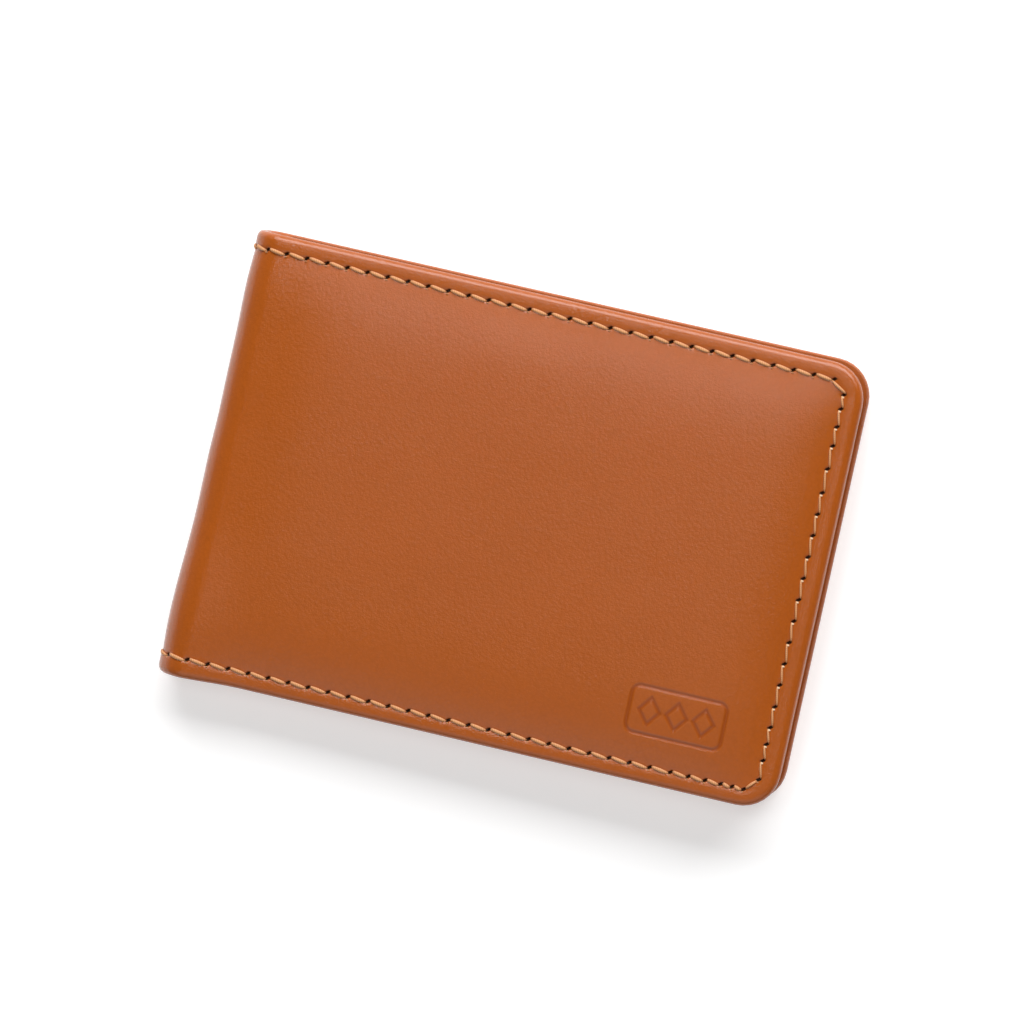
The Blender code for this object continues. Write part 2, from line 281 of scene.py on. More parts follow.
class Build:
    """Vertices in sheet coordinates, with a value per vertex for the texture and for the holes."""

    def __init__(self):
        self.x, self.y, self.depth, self.u, self.v, self.hole, self.press = ([] for _ in range(7))
        self.faces, self.mark = [], []

    def add(self, x, y, depth, u=None, v=None, hole=FAR, press=FAR):
        """Adds vertices and returns their numbers, in the arrays' own shape."""
        x, y, depth = np.broadcast_arrays(*(np.asarray(a, float) for a in (x, y, depth)))
        start = len(self.x)
        for store, value in (
            (self.x, x), (self.y, y), (self.depth, depth),
            (self.u, x if u is None else u), (self.v, y if v is None else v),
            (self.hole, hole), (self.press, press),
        ):
            store.extend(np.broadcast_to(value, x.shape).ravel().tolist())
        return start + np.arange(x.size).reshape(x.shape)

    def face(self, ids, mark=0):
        """One face, without the corners that repeat the one before."""
        clean = [i for n, i in enumerate(ids) if i != ids[n - 1]]
        if len(set(clean)) > 2:
            self.faces.append([int(i) for i in clean])
            self.mark.append(mark)

    def grid(self, ids):
        for i in range(ids.shape[0] - 1):
            for j in range(ids.shape[1] - 1):
                self.face([ids[i, j], ids[i + 1, j], ids[i + 1, j + 1], ids[i, j + 1]])

    def band(self, a, b, mark=0):
        """Faces between two closed rings of the same length."""
        for k in range(len(a)):
            j = (k + 1) % len(a)
            self.face([a[k], a[j], b[j], b[k]], mark)

    def tube(self, rings, mark=0):
        """Closed rings joined one to the next, with both ends filled."""
        for a, b in zip(rings, rings[1:]):
            self.band(a, b, mark)
        self.face(rings[0], mark)
        self.face(rings[-1][::-1], mark)

    def slab(self, near, far):
        """Two grids of the same shape as the faces of one closed layer."""
        self.grid(near)
        self.grid(far)
        self.band(*([*ids[:, 0], *ids[-1, 1:], *ids[-2::-1, -1], *ids[0, -2:0:-1]] for ids in (near, far)))

    def make(self, name, materials, sharp=50.0, holes=False):
        """The object, wrapped into place.  holes keeps the distances to the holes and the pressed lines."""
        mesh = bpy.data.meshes.new(name)
        mesh.from_pydata(place(self.x, self.y, self.depth).tolist(), [], self.faces)
        corner = np.empty(len(mesh.loops), np.int32)
        mesh.loops.foreach_get("vertex_index", corner)
        uv = np.stack([self.u, self.v], -1)[corner]
        mesh.uv_layers.new(name="sheet").data.foreach_set("uv", uv.astype(np.float32).ravel())
        if holes:
            for title, values in (("hole", self.hole), ("press", self.press)):
                attribute = mesh.attributes.new(title, "FLOAT", "POINT")
                attribute.data.foreach_set("value", np.array(values, np.float32))
        mesh.polygons.foreach_set("material_index", np.array(self.mark, np.int32))
        cage = bmesh.new()
        cage.from_mesh(mesh)
        bmesh.ops.recalc_face_normals(cage, faces=cage.faces)
        cage.to_mesh(mesh)
        cage.free()
        mesh.shade_smooth()
        mesh.set_sharp_from_angle(angle=math.radians(sharp))
        for material in materials:
            mesh.materials.append(material)
        made = bpy.data.objects.new(name, mesh)
        bpy.context.scene.collection.objects.link(made)
        return made


# ---------------------------------------------------------------- the hide

# Insets of the hide's rings: down to the stitch line, across it, over the turned edge and back under it.  The
# rings across the stitch line are finer along the edge too, for the holes.
SWELL_RINGS = (5.9, 5.0, 4.3)
FINE_RINGS = (3.95, 3.75, 3.58, 3.43, 3.29, 3.16, 3.03, 2.90, 2.76, 2.61, 2.45)
BEAD_RINGS = (1.9, 1.55, 1.15, 0.78, 0.45, 0.2, 0.05, 0.0)
UNDER_RINGS = (0.05, 0.2, 0.45, 0.85, 1.3, 1.8, 4.0, 6.5)
INNER_RINGS = (
    (6.5, FLANGE), (4.0, FLANGE), (1.4, FLANGE), (1.4, HIDE_THICK), (3.4, "inner face"), (5.4, "inner face"),
)
FINE_STEP = 0.27        # between stations on the fine rings
TURN_STEPS = 8          # coarse steps round a corner


def edge_runs(s_lines, y_lines, corners):
    """Coarse stations along the free edges, in runs of (stations, the grid's border vertex at each).
    A station is (anchor s, anchor y, inward s, inward y, how far it belongs to the column)."""
    def straight(way, values):
        return [(s, way * TOP, 0.0, -way, 0.0) for s in values]

    def turn(way, start):
        found = []
        for i in range(TURN_STEPS + 1):
            angle = start + math.pi / 2 * i / TURN_STEPS
            c, n = math.cos(angle), math.sin(angle)
            share = float(smooth(1 - abs(angle) / (math.pi / 2)))
            found.append((LENGTH - CORNER_R + CORNER_R * c, way * (TOP - CORNER_R) + CORNER_R * n, -c, -n, share))
        return found

    last, top = len(s_lines) - 1, len(y_lines) - 1
    lower = (straight(-1, s_lines), [(i, 0) for i in range(last + 1)])
    upper = (straight(1, s_lines[::-1]), [(i, top) for i in range(last, -1, -1)])
    if not corners:
        return [[lower], [upper]]
    return [[
        lower,
        (turn(-1, -math.pi / 2), [(last, 0)] * (TURN_STEPS + 1)),
        ([(LENGTH, y, -1.0, 0.0, 1.0) for y in y_lines], [(last, j) for j in range(top + 1)]),
        (turn(1, 0.0), [(last, top)] * (TURN_STEPS + 1)),
        upper,
    ]]


def stations(s_lines, y_lines, corners):
    """The runs with fine stations between the coarse ones, whose border vertex is None."""
    made = []
    for run in edge_runs(s_lines, y_lines, corners):
        rows, borders = [], []
        for coarse, ids in run:
            coarse = np.array(coarse)
            for a, b, border in zip(coarse, coarse[1:], ids):
                span = np.hypot(*(a[:2] + a[2:4] * ROW_INSET - b[:2] - b[2:4] * ROW_INSET))
                parts = max(1, round(span / FINE_STEP))
                for k in range(parts):
                    mixed = a + (b - a) * k / parts
                    turned = np.hypot(*mixed[2:4])
                    if turned < 0.9999:
                        way = mixed[2:4] / turned
                        centre = a[:2] + a[2:4] * CORNER_R
                        mixed = np.array([*(centre - way * CORNER_R), *way, mixed[4]])
                    rows.append(mixed)
                    borders.append(None if k else border)
        rows.append(np.array(run[-1][0][-1]))
        borders.append(run[-1][1][-1])
        made.append((np.array(rows), borders))
    return made


def ring_points(rows, inset):
    """(s, y) at this inset from the free edges; the column's stitch line lies further in than the rows'."""
    if inset <= ROW_INSET:
        share = smooth(inset / ROW_INSET)
    else:
        share = 1 - smooth((inset - ROW_INSET) / (GRID_INSET - ROW_INSET))
    there = inset + (COLUMN_INSET - ROW_INSET) * rows[:, 4] * float(share)
    return rows[:, 0] + rows[:, 2] * there, rows[:, 1] + rows[:, 3] * there


def rim_section():
    """The rings over the turned edge and back under it: (inset, depth, inset on the hide laid flat)."""
    found = []
    flat, last = BEAD_START, (BEAD_START, 0.0)
    for way, insets in ((-1, BEAD_RINGS), (1, UNDER_RINGS)):
        for inset in insets:
            level = RIM_DEPTH + way * float(edge_round(inset))
            flat -= math.hypot(last[0] - inset, last[1] - level)
            last = (inset, level)
            depth = "outer face" if way < 0 else level - (FLANGE_THIN if inset > FLANGE_START else 0.0)
            found.append((inset, depth, flat))
    return found


def hide(name, side, s_lines, y_lines, corners, materials):
    """The hide over one half and its share of the fold, or the fold's middle, as a closed shell."""
    build = Build()
    s, y = np.meshgrid(s_lines, y_lines, indexing="ij")
    x = sheet_x(side, s)
    press = emblem_distance(x, y) if side == "front" and corners else FAR
    height = hide_height(x, y, GRID_INSET)
    outer = build.add(x, y, STAMP * smooth((0.14 - press) / 0.28) - height, press=press)
    inner = build.add(x, y, inner_depth(height))
    build.grid(outer)
    build.grid(inner)

    for rows, borders in stations(s_lines, y_lines, corners):
        coarse = np.flatnonzero([border is not None for border in borders])

        def spread(ids, chosen):
            """The vertices by station, with -1 where a station has none."""
            full = np.full(len(rows), -1)
            full[chosen] = ids
            return full

        def border_ring(ids):
            return spread([ids[borders[i]] for i in coarse], coarse), False

        def ring(inset, depth="outer face", flat=None, fine=False):
            """One ring of vertices, and whether it is fine.  flat is its inset in the texture."""
            chosen = np.arange(len(rows)) if fine else coarse
            here = rows[chosen]
            rs, ry = ring_points(here, inset)
            rx = sheet_x(side, rs)
            us, uy = (rs, ry) if flat is None else (here[:, :2] + here[:, 2:4] * flat).T
            hole = hole_distance(rx, ry) if fine else FAR
            if depth == "outer face":
                depth = -hide_height(rx, ry, inset)
                if fine:
                    depth = depth + HOLE_DEPTH * smooth((0.10 - hole) / 0.30)
                    depth = depth + DIMPLE * np.exp(-np.maximum(hole, 0) / 0.35)
            elif depth == "inner face":
                depth = inner_depth(hide_height(rx, ry, inset))
            sag = 0.5 * np.maximum(flare(rx, ry), 0.0) * (1 - smooth(inset / 2.4))
            return spread(build.add(rx, ry - sag, depth, sheet_x(side, us), uy, hole=hole), chosen), fine

        rings = [
            border_ring(outer),
            *(ring(inset) for inset in SWELL_RINGS),
            *(ring(inset, fine=True) for inset in FINE_RINGS),
            ring(BEAD_START),
            *(ring(*each) for each in rim_section()),
            *(ring(*each) for each in INNER_RINGS),
            border_ring(inner),
        ]
        for (a, a_fine), (b, b_fine) in zip(rings, rings[1:]):
            for i, j in zip(coarse, coarse[1:]):
                if a_fine and b_fine:
                    for k in range(i, j):
                        build.face([a[k], a[k + 1], b[k + 1], b[k]])
                else:
                    lower = a[i : j + 1] if a_fine else a[[i, j]]
                    upper = b[i : j + 1] if b_fine else b[[i, j]]
                    build.face([*lower, *upper[::-1]])
        build.face([full[0] for full, _ in rings])
        build.face([full[-1] for full, _ in rings])
    for end in (0,) if corners else (0, -1):
        for j in range(len(y_lines) - 1):
            build.face([outer[end, j], outer[end, j + 1], inner[end, j + 1], inner[end, j]])
    return build.make(name, materials, holes=True)


def even_lines(start, end, step):
    return np.linspace(start, end, max(2, round(abs(end - start) / step) + 1))


def side_lines(detail):
    """The grid lines of a half: its share of the fold, then the flat, finer under the emblem."""
    fold = np.concatenate([[-STRIP, -STRIP + EDGE_ROW], np.linspace(-STRIP, 0, 9)[1:]])
    right, high = LENGTH - GRID_INSET, TOP - GRID_INSET
    if not detail:
        return np.concatenate([fold, even_lines(0, right, 2.5)[1:]]), even_lines(-high, high, 2.5)
    (cx, cy), (w, h) = EMBLEM_AT, (size / 2 + 0.8 for size in EMBLEM_SIZE)
    flat = np.concatenate([
        even_lines(0, cx - w, 2.5)[1:],
        even_lines(cx - w, cx + w, 0.2)[1:],
        even_lines(cx + w, right, 2.0)[1:],
    ])
    lines = np.concatenate([
        even_lines(-high, cy - h, 1.0),
        even_lines(cy - h, cy + h, 0.2)[1:],
        even_lines(cy + h, high, 2.5)[1:],
    ])
    return np.concatenate([fold, flat]), lines


# ---------------------------------------------------------------- threads

# Along a stitch: (share of its length, rise, size)
THREAD_STEPS = (
    (0.00, -1.3, 0.40), (0.05, -0.25, 0.66), (0.14, 0.50, 0.84), (0.30, 0.82, 1.0), (0.5, 0.95, 1.07),
    (0.70, 0.86, 1.03), (0.85, 0.58, 0.88), (0.94, -0.05, 0.66), (1.00, -1.2, 0.42),
)
KNUCKLE_STEPS = (-0.9, -0.45, 0.1, 0.6, 0.9)
KNUCKLE_AT = (-0.05, -0.47)
# By kind of stitch: half its width, half its height, and how far its knuckle reaches
EDGE_STITCHES = {
    "row": (0.32, 0.22, (0.26, 0.14)), "corner": (0.25, 0.22, (0.26, 0.14)), "column": (0.20, 0.18, (0.26, 0.20)),
}
FOLD_SEWN = 1.9         # how far past the fold its own stitches go


def stitch(build, a, b, wide, high, surface, lift, ways=8):
    """One stitch between two points of the sheet, lying on the surface at each end and standing up between.
    lift is 1 on the outer face and -1 inside."""
    a, b = np.array(a), np.array(b)
    length = np.hypot(*(b - a))
    along = (b - a) / length
    angles = np.linspace(0, 2 * math.pi, ways, endpoint=False)
    rings = []
    for t, up, size in THREAD_STEPS:
        x, y = a + along * length * t
        offset = np.cos(angles) * wide * size
        rise = up * high + np.sin(angles) * high * size
        rings.append(build.add(
            x - along[1] * offset, y + along[0] * offset, surface(x, y) - lift * rise,
            length * t, angles / (2 * math.pi),
        ))
    build.tube(rings)


def knuckle(build, x, y, reach, base, mark):
    """Where a thread goes into its hole it makes a small knuckle; the column's knuckles take a paler colour, a
    painted highlight.
    """
    angles = np.linspace(0, 2 * math.pi, 8, endpoint=False)
    rings = []
    for level in KNUCKLE_STEPS:
        share = math.sqrt(1 - level * level)
        rings.append(build.add(
            x + np.cos(angles) * reach[0] * share, y + np.sin(angles) * reach[1] * share,
            base - (level * 0.2 + 0.05), angles, level,
        ))
    build.tube(rings, mark)


def groove_depth(x, y):
    """Depth at which a stitch of the edge row lies."""
    return 0.05 - float(hide_height(x, y, ROW_INSET))


def route_share(a, b):
    """Which piece carries the stitch between two holes: a half, or one of the fold's three strips."""
    middle = (a[0] + b[0]) / 2
    if middle > FOLD_SEWN:
        return "front"
    if middle < -ARC_LENGTH - FOLD_SEWN:
        return "back"
    return ("fold_front", "fold_middle", "fold_back")[int(np.clip(-middle // STRIP, 0, 2))]


def outer_threads(materials):
    """The edge row on the outer face, as one object for each piece that carries it."""
    builds = {}
    for p, q in zip(SEWN, SEWN[1:]):
        dx, dy = q - p
        forward = dx > 0 if abs(dx) > abs(dy) else dy > 0
        a, b = (p, q) if forward else (q, p)
        if abs(dy) > 2.6 and abs(dx) < 0.2:
            kind = "column"
        else:
            kind = "corner" if min(abs(dx), abs(dy)) > 0.5 else "row"
        wide, high, reach = EDGE_STITCHES[kind]
        build = builds.setdefault(route_share(a, b), Build())
        stitch(build, a + SLIT_WAY * SLIT, b - SLIT_WAY * SLIT * 0.9, wide, high, groove_depth, 1.0)
        x, y = b + KNUCKLE_AT
        # mark 1 paints the column's knuckles paler: a painted highlight
        knuckle(build, x, y, reach, groove_depth(x, y), 1 if kind == "column" else 0)
    return {part: build.make(f"{part}_edge_stitches", materials) for part, build in builds.items()}


# ---------------------------------------------------------------- inside

def half_outline(inset, start, top):
    """A half's outline, (s, y), square at the fold and round at the free corners that it reaches."""
    right, bottom = LENGTH - inset, -TOP + inset
    radius = CORNER_R - inset

    def corner(y, start_angle):
        angles = [start_angle + math.pi / 2 * i / 6 for i in range(7)]
        return [(right - radius + radius * math.cos(angle), y + radius * math.sin(angle)) for angle in angles]

    upper = corner(top - radius, 0.0) if top > TOP - CORNER_R else [(right, top)]
    return np.array([(start, bottom), *corner(bottom + radius, -math.pi / 2), *upper, (start, top)])


def normals(ways):
    return np.stack([-ways[:, 1], ways[:, 0]], -1) / np.maximum(np.hypot(*ways.T)[:, None], 1e-9)


def offset_in(points, by):
    """The outline moved in by a little, corner by corner."""
    mixed = normals(points - np.roll(points, 1, 0)) + normals(np.roll(points, -1, 0) - points)
    mixed /= np.maximum((mixed**2).sum(1)[:, None] / 2, 0.3)
    return points + mixed * by


def leaf(name, side, outline, depths, materials, edge, mouth=0.0):
    """A flat leather or cloth layer with softly rounded edges.  mouth is where its texture counts from."""
    build = Build()
    rings = []
    outside, inside = depths
    for by, depth in (
        (edge, outside), (edge * 0.3, outside + edge * 0.3), (0.0, outside + edge),
        (0.0, inside - edge), (edge * 0.3, inside - edge * 0.3), (edge, inside),
    ):
        s, y = offset_in(outline, by).T
        rings.append(build.add(sheet_x(side, s), y, depth, s, y - mouth))
    build.tube(rings)
    return build.make(name, materials, sharp=60.0)


def gape(s, y):
    """How far the inner wall stands off towards the mouth, where only the fold and the free edge hold it."""
    along = 0.8 + 1.8 * s / LENGTH * (1 - 0.6 * smooth((s - 92.0) / 16.0))
    return along * smooth((y - MOUTH_FOOT) / (PANEL_TOP - MOUTH_FOOT))


def wall(build, side, low, high, inset, share, thick):
    """An inner layer between two heights, with the wallet's round corners.  share is how far it stands from the
    flange, at 0, to the inner wall, at 1."""
    reach, centre = CORNER_R - inset, LENGTH - CORNER_R
    bend = centre + reach * np.sin(np.linspace(0, math.pi / 2, 10)[1:])
    across = np.concatenate([np.linspace(1.0, centre, 26), bend])
    drop = reach - np.sqrt(np.maximum(reach**2 - np.maximum(across - centre, 0.0) ** 2, 0.0))
    bottom = low + drop if low < 0 else np.full_like(drop, low)
    up = np.concatenate([np.linspace(0, 0.78, 6), np.linspace(0.78, 1, 11)[1:]])
    s, t = np.meshgrid(across, up, indexing="ij")
    y = bottom[:, None] * (1 - t) + (high - drop)[:, None] * t
    near = MOUTH_DEPTH + share * (PANEL[0] - MOUTH_DEPTH + gape(s, y))
    build.slab(*(build.add(sheet_x(side, s), y, near + far, s, y - high) for far in (0.0, thick)))


def pocket_depth(level):
    """Depth of a card pocket's hidden face."""
    return PANEL[1] + 0.1 + level * POCKET_PITCH


def layer_depth(x, y):
    """Depth of the topmost inner layer, seen from inside the wallet."""
    s = from_fold(x)
    if s <= POCKET_START:
        return GUTTER[1] if s < 0.8 else PANEL[1]
    above = [pocket_depth(level) + POCKET_THICK for level, top in enumerate(POCKET_TOPS) if y < top]
    return above[-1] if above else PANEL[1]


def inner_threads(side, materials):
    """The edge row as the inside shows it, and the row that holds the pockets at the gutter."""
    route = FRONT_ROUTE if side == "front" else BACK_ROUTE
    build = Build()
    for p, q in zip(route, route[1:]):
        if min(from_fold(p[0]), from_fold(q[0])) < 2.0 or max(p[1], q[1]) > TOP - ROW_INSET - 0.1:
            continue
        a, b = (p, q) if abs(p[0]) + p[1] < abs(q[0]) + q[1] else (q, p)
        way = (b - a) / np.hypot(*(b - a))
        stitch(build, a + way * INNER_GAP, b - way * INNER_GAP, 0.2, 0.16, layer_depth, -1.0, 6)
    x, y = sheet_x(side, POCKET_START + 1.5), -TOP + 5.2
    while y < POCKET_TOPS[0] - 1.5:
        stitch(build, (x, y + INNER_GAP), (x, y + INNER_PITCH - INNER_GAP), 0.17, 0.14, layer_depth, -1.0, 6)
        y += INNER_PITCH
    return build.make(f"{side}_inner_stitches", materials)


def gutter(name, start, end, materials):
    """The strip that runs through the fold inside, from one x of the sheet to another."""
    build = Build()
    y_lines = [-TOP + 0.7, -TOP + 0.85, -TOP + 3, -20, 0, 20, TOP - 4.0, TOP - 1.65, TOP - 1.5]
    x, y = np.meshgrid(even_lines(start, end, 0.4), y_lines, indexing="ij")
    build.slab(build.add(x, y, GUTTER[0] + 0.02), build.add(x, y, GUTTER[1]))
    return build.make(name, materials)


def pad(name, side, materials):
    """The foam under the hide: its face follows the hide's crown."""
    build = Build()
    s_lines = even_lines(PAD_START, LENGTH - PAD_INSET, 4.0)
    y_lines = even_lines(-TOP + PAD_INSET, TOP - PAD_INSET, 4.0)
    s, y = np.meshgrid(s_lines, y_lines, indexing="ij")
    x = sheet_x(side, s)
    face = np.minimum(HIDE_THICK - hide_height(x, y, GRID_INSET) + 0.06, HIDE_THICK - 0.02)
    build.slab(build.add(x, y, face), build.add(x, y, HIDE_THICK + 0.04))
    return build.make(name, materials)


# ---------------------------------------------------------------- materials

def nodes_of(name):
    made = bpy.data.materials.new(name)
    made.use_nodes = True
    return made, made.node_tree, made.node_tree.nodes["Principled BSDF"]


def feed(tree, socket, value):
    """Links another node's socket to this one, or gives it a value of its own."""
    if isinstance(value, bpy.types.NodeSocket):
        tree.links.new(value, socket)
    else:
        socket.default_value = value


def add_node(tree, kind, **values):
    """A node with these properties and inputs, set in the order given."""
    node = tree.nodes.new(kind)
    for key, value in values.items():
        if key in node.inputs:
            feed(tree, node.inputs[key], value)
        else:
            setattr(node, key, value)
    return node


def math_node(tree, operation, *values):
    node = add_node(tree, "ShaderNodeMath", operation=operation)
    for socket, value in zip(node.inputs, values):
        feed(tree, socket, value)
    return node.outputs[0]


def map_range(tree, value, source, result, **values):
    node = add_node(tree, "ShaderNodeMapRange", Value=value, **values)
    node.inputs["From Min"].default_value, node.inputs["From Max"].default_value = source
    node.inputs["To Min"].default_value, node.inputs["To Max"].default_value = result
    return node.outputs["Result"]


def mix_colors(tree, factor, a, b, blend="MIX"):
    node = add_node(tree, "ShaderNodeMix", data_type="RGBA", blend_type=blend, Factor=factor, A=a, B=b)
    return node.outputs["Result"]


def bump_node(tree, height, strength, distance):
    return add_node(tree, "ShaderNodeBump", Strength=strength, Distance=distance, Height=height)


def sheet_uv(tree):
    return add_node(tree, "ShaderNodeUVMap", uv_map="sheet").outputs["UV"]


def dimmed(color, red, green, blue):
    return color[0] * red, color[1] * green, color[2] * blue, 1.0


def leather(name, color, roughness, grain=1.0, gloss=0.5, holes=False, crease=False):
    """Smooth hide: a fine pebble with pores, slow changes of tone, painted shade in the stitch holes where the mesh
    has them, and a creased line below a pocket's mouth.  Pressed lines and crease are painted darker: own pressed
    tone and painted shade."""
    made, tree, shader = nodes_of(name)
    uv = sheet_uv(tree)
    pebble = add_node(
        tree, "ShaderNodeTexVoronoi", feature="SMOOTH_F1", Vector=uv, Scale=1.8, Smoothness=0.6, Randomness=1.0
    ).outputs["Distance"]
    fine, tone, mottle = (
        add_node(tree, "ShaderNodeTexNoise", Vector=uv, Scale=scale, Detail=detail, Roughness=rough).outputs["Fac"]
        for scale, detail, rough in ((4.5, 3.0, 0.6), (0.045, 2.0, 0.5), (0.5, 3.0, 0.65))
    )
    bump = bump_node(tree, math_node(tree, "MULTIPLY_ADD", pebble, 0.55, fine), 0.6 * grain, 0.00007)
    feed(tree, shader.inputs["Normal"], bump.outputs["Normal"])

    shade = map_range(tree, tone, (0.3, 0.7), (0.985, 1.015))
    speck = map_range(tree, mottle, (0.3, 0.7), (0.98, 1.02))
    tint = add_node(
        tree, "ShaderNodeHueSaturation", Color=(*color, 1.0), Value=math_node(tree, "MULTIPLY", shade, speck)
    ).outputs["Color"]
    cells = map_range(tree, pebble, (0.0, 1.0), (1.04, 0.93))
    base = mix_colors(tree, 1.0, tint, cells, "MULTIPLY")
    rough = map_range(tree, fine, (0.0, 1.0), (roughness - 0.03, roughness + 0.03))
    feed(tree, shader.inputs["Roughness"], rough)
    shader.inputs["Specular IOR Level"].default_value = gloss

    if crease:
        down = add_node(tree, "ShaderNodeSeparateXYZ", Vector=uv).outputs["Y"]
        away = math_node(tree, "ABSOLUTE", math_node(tree, "ADD", down, 1.7))
        groove = map_range(tree, away, (0.08, 0.3), (0.0, 1.0), interpolation_type="SMOOTHSTEP")
        pressed = bump_node(tree, groove, 0.8, 0.00018)
        feed(tree, bump.inputs["Normal"], pressed.outputs["Normal"])
        # painted darker along the crease: partly the pressed leather's own tone, partly painted shade
        line = math_node(tree, "SUBTRACT", 1.0, groove)
        base = mix_colors(tree, line, base, (0.62, 0.55, 0.5, 1.0), "MULTIPLY")

    if holes:
        for title, near, far, dark in (
            # painted shade: the stitch holes are painted near black inside
            ("hole", -0.05, 0.10, (0.045, 0.016, 0.007, 1.0)),
            # the emblem's pressed lines are painted darker: partly the pressed leather's own tone, partly painted
            # shade
            ("press", -0.12, 0.22, dimmed(color, 0.78, 0.70, 0.65)),
        ):
            value = add_node(tree, "ShaderNodeAttribute", attribute_name=title).outputs["Fac"]
            inside = map_range(tree, value, (near, far), (1.0, 0.0), interpolation_type="SMOOTHSTEP")
            base = mix_colors(tree, inside, base, dark)
    feed(tree, shader.inputs["Base Color"], base)
    return made


def thread_material(name, color):
    """Twisted thread: slanted plies, with painted shade between them."""
    made, tree, shader = nodes_of(name)
    turn = add_node(
        tree, "ShaderNodeMapping",
        Vector=sheet_uv(tree), Scale=(1.6, 1.0, 1.0), Rotation=(0.0, 0.0, math.radians(38.0)),
    ).outputs["Vector"]
    ply = add_node(
        tree, "ShaderNodeTexWave", Vector=turn, Scale=0.7, Distortion=0.3, Detail=1.0
    ).outputs["Fac"]
    feed(tree, shader.inputs["Normal"], bump_node(tree, ply, 0.6, 0.00008).outputs["Normal"])
    # painted shade: the colour is darker between the plies
    base = mix_colors(tree, ply, dimmed(color, 0.78, 0.68, 0.6), (*color, 1.0))
    feed(tree, shader.inputs["Base Color"], base)
    shader.inputs["Roughness"].default_value = 0.55
    return made


def cloth_material(name, color):
    """A plain weave, with painted shade between its threads."""
    made, tree, shader = nodes_of(name)
    uv = sheet_uv(tree)
    warp, weft = (
        add_node(tree, "ShaderNodeTexWave", bands_direction=way, Vector=uv, Scale=1.2).outputs["Fac"]
        for way in ("X", "Y")
    )
    over = math_node(tree, "MULTIPLY", warp, weft)
    feed(tree, shader.inputs["Normal"], bump_node(tree, over, 0.5, 0.00006).outputs["Normal"])
    # painted shade: the colour is darker where the threads dip between each other
    base = mix_colors(tree, over, dimmed(color, 0.6, 0.6, 0.6), (*color, 1.0))
    feed(tree, shader.inputs["Base Color"], base)
    shader.inputs["Roughness"].default_value = 0.85
    return made


def plain_material(name, color, roughness, speckle=0.12):
    """One colour with a fine speckle."""
    made, tree, shader = nodes_of(name)
    where = add_node(tree, "ShaderNodeTexCoord").outputs["Object"]
    noise = add_node(tree, "ShaderNodeTexNoise", Vector=where, Scale=900.0, Detail=3.0).outputs["Fac"]
    base = mix_colors(tree, noise, dimmed(color, *[1 - speckle] * 3), (*color, 1.0))
    feed(tree, shader.inputs["Base Color"], base)
    shader.inputs["Roughness"].default_value = roughness
    return made


# ---------------------------------------------------------------- the wallet

TAN = (0.370, 0.0835, 0.0095)
INNER_TAN = (0.36, 0.085, 0.013)


def fold_blend(obj, index):
    """Bakes a strip's place into its mesh; index, which counts from the back half, is not used."""
    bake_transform(obj)


def settle(made, body, slot, *nodes):
    """Attaches a stiff piece to the body it rides on and hides the CAD nodes that it stands in for; slot is not
    used.
    """
    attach(made, body)
    if nodes:
        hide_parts(*nodes)


def build_half(side, index, hide_leather, lining_leather, pocket_leather, cloth, foam, threads):
    body = f"{side}_half"
    cover = hide(f"{side}_cover", side, *side_lines(side == "front"), True, [hide_leather])
    fold_blend(cover, index)
    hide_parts(f"{side}_cover_leather", f"fold_leather_{side}")

    build = Build()
    wall(build, side, -TOP + 0.4, PANEL_TOP, 0.4, 1.0, PANEL[1] - PANEL[0])
    settle(build.make(f"{side}_panel", [pocket_leather]), body, "inner_leather", f"{side}_inner_panel")
    build = Build()
    for share in (0.12, 0.55):
        wall(build, side, MOUTH_FOOT + 3.0, TOP - 0.2, 0.3, share, 0.18)
    settle(build.make(f"{side}_mouth_leaves", [lining_leather]), body, "inner_leather")

    for level, (where, top) in enumerate(zip(("upper", "middle", "lower"), POCKET_TOPS)):
        near = pocket_depth(level)
        pocket = leaf(
            f"{side}_pocket_{where}", side, half_outline(0.7, POCKET_START, top), (near, near + POCKET_THICK),
            [pocket_leather], edge=0.14, mouth=top,
        )
        settle(pocket, body, "inner_leather", f"{side}_card_pocket_{where}")

    lining = leaf(f"{side}_lining", side, half_outline(1.5, 0.2, TOP - 1.5), LINING, [cloth], edge=0.08)
    settle(lining, body, "bill_lining", f"{side}_bill_lining")

    foam_pad = pad(f"{side}_padding", side, [foam])
    settle(foam_pad, body, "padding", f"{side}_cover_padding")
    settle(inner_threads(side, threads), body, "thread", f"{side}_pocket_thread")


